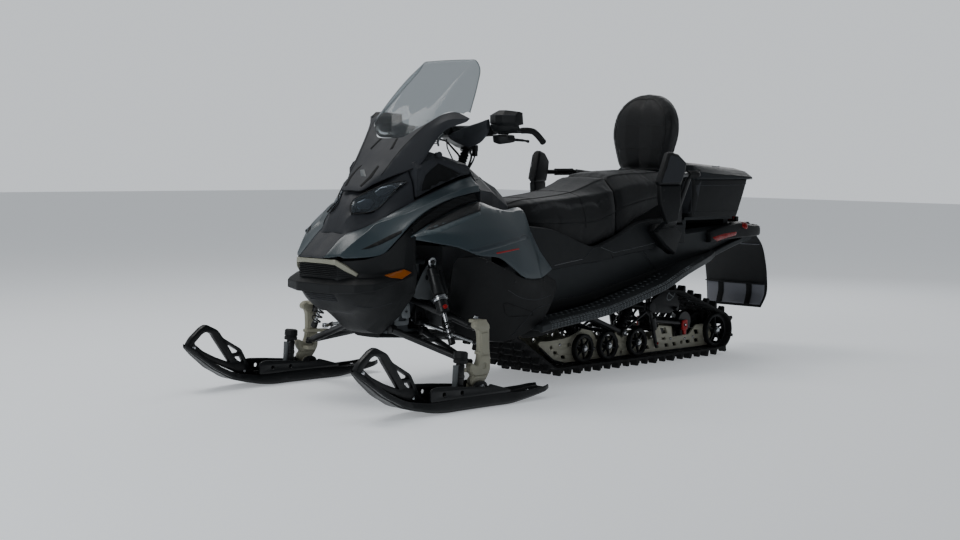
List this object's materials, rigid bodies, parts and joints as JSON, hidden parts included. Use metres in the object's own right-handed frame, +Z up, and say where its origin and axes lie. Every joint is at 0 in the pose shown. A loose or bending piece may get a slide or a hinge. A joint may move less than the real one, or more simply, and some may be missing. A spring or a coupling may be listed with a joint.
{
  "type": "snowmobile",
  "caption": "Two-up touring snowmobile with tall tinted windshield, passenger backrest and lidded cargo box; its handlebar steers the skis, the skis pitch and the lid opens.",
  "frame": {"origin": "on the floor, under the middle of the overall length and width", "axes": "+X towards the ski tips, +Y to the rider's left, +Z up"},
  "size_m": [3.258, 1.224, 1.443],
  "materials": {
    "paint_slate": "satin slate paint over moulded plastic",
    "charcoal_plastic": "grained moulded plastic",
    "black_plastic": "grained moulded plastic",
    "cream_paint": "satin",
    "lens": "clear, gloss",
    "red_lens": "gloss",
    "tinted_screen": "smoke tint, gloss",
    "cast_alloy": "rough cast",
    "grey_casting": "satin",
    "black_steel": "satin black",
    "bright_alloy": "brushed",
    "shock_metal": "satin black with bright collars",
    "ski_plastic": "smooth moulded plastic",
    "seat_vinyl": "grained vinyl",
    "dark_alloy": "satin",
    "flap_rubber": "matt",
    "track_rubber": "matt",
    "wheel_plastic": "moulded"
  },
  "bodies": {
    "chassis": {"backrest": "seat_vinyl", "belly_pan": "black_plastic", "bulkhead": "grey_casting", "cargo_box": "charcoal_plastic", "cargo_rack": "dark_alloy", "console": "charcoal_plastic", "drive_axle": "wheel_plastic", "engine_block": "cast_alloy", "front_bumper": "black_plastic", "front_shocks": "shock_metal", "headlight_mask": "charcoal_plastic", "headlights": "lens", "hood": "paint_slate", "lower_arms": "black_steel", "lower_panel_left": "black_plastic", "lower_panel_right": "black_plastic", "lower_wheels": "wheel_plastic", "nose_cowl": "black_plastic", "nose_trim": "cream_paint", "passenger_grips": "black_steel", "passenger_guards": "black_plastic", "passenger_seat": "seat_vinyl", "rear_bumper": "black_plastic", "rear_wheels": "wheel_plastic", "rider_seat": "seat_vinyl", "running_boards": "dark_alloy", "seat_base": "black_plastic", "side_covers": "black_plastic", "side_panel_left": "paint_slate", "side_panel_right": "paint_slate", "side_vents": "black_plastic", "skid_arms": "black_steel", "skid_shocks": "shock_metal", "slide_rails": "cream_paint", "snow_flap": "flap_rubber", "tail_light": "red_lens", "track": "track_rubber", "tunnel": "dark_alloy", "upper_arms": "black_steel", "upper_wheels": "wheel_plastic", "windshield": "tinted_screen", "windshield_base": "charcoal_plastic"},
    "steering": {"steering_column": "black_steel", "handlebar": "black_steel", "hand_guards": "black_plastic", "gauge_pod": "black_plastic", "control_cables": "black_plastic"},
    "cargo_lid": {"cargo_lid": "charcoal_plastic"},
    "knuckle_left": {"spindle_left": "cream_paint"},
    "knuckle_right": {"spindle_right": "cream_paint"},
    "ski_left": {"ski_left": "ski_plastic", "ski_loop_left": "ski_plastic"},
    "ski_right": {"ski_right": "ski_plastic", "ski_loop_right": "ski_plastic"},
    "tie_rod_left": {"tie_rod_left": "bright_alloy"},
    "tie_rod_right": {"tie_rod_right": "bright_alloy"}
  },
  "joints": [
    {"name": "steering_turn", "type": "hinge", "parent": "chassis", "child": "steering", "pos_m": [0.5, 0, 1.01], "axis": [-0.42, 0, 0.9075], "range_deg": [-12, 12]},
    {"name": "knuckle_left_turn", "type": "hinge", "parent": "chassis", "child": "knuckle_left", "pos_m": [0.965, 0.508, 0.178], "axis": [-0.2442, 0, 0.9697], "range_deg": [-12.5, 12.5]},
    {"name": "knuckle_right_turn", "type": "hinge", "parent": "chassis", "child": "knuckle_right", "pos_m": [0.965, -0.508, 0.178], "axis": [-0.2442, 0, 0.9697], "range_deg": [-12.5, 12.5]},
    {"name": "tie_rod_left_slide", "type": "slide", "parent": "chassis", "child": "tie_rod_left", "axis": [0, 1, 0], "range_m": [-0.018, 0.018]},
    {"name": "tie_rod_right_slide", "type": "slide", "parent": "chassis", "child": "tie_rod_right", "axis": [0, 1, 0], "range_m": [-0.018, 0.018]},
    {"name": "ski_left_pitch", "type": "hinge", "parent": "knuckle_left", "child": "ski_left", "pos_m": [0.965, 0.538, 0.082], "axis": [0, 1, 0], "range_deg": [-7, 14]},
    {"name": "ski_right_pitch", "type": "hinge", "parent": "knuckle_right", "child": "ski_right", "pos_m": [0.965, -0.538, 0.082], "axis": [0, 1, 0], "range_deg": [-7, 14]},
    {"name": "cargo_lid_open", "type": "hinge", "parent": "chassis", "child": "cargo_lid", "pos_m": [-0.896, 0, 0.984], "axis": [0, 1, 0], "range_deg": [0, 80]}
  ],
  "couplings": [
    {"joint": "knuckle_left_turn", "follows": "steering_turn", "ratio": 1},
    {"joint": "knuckle_right_turn", "follows": "steering_turn", "ratio": 1},
    {"joint": "tie_rod_left_slide", "follows": "steering_turn", "m_per_rad": -0.077},
    {"joint": "tie_rod_right_slide", "follows": "steering_turn", "m_per_rad": -0.077}
  ]
}
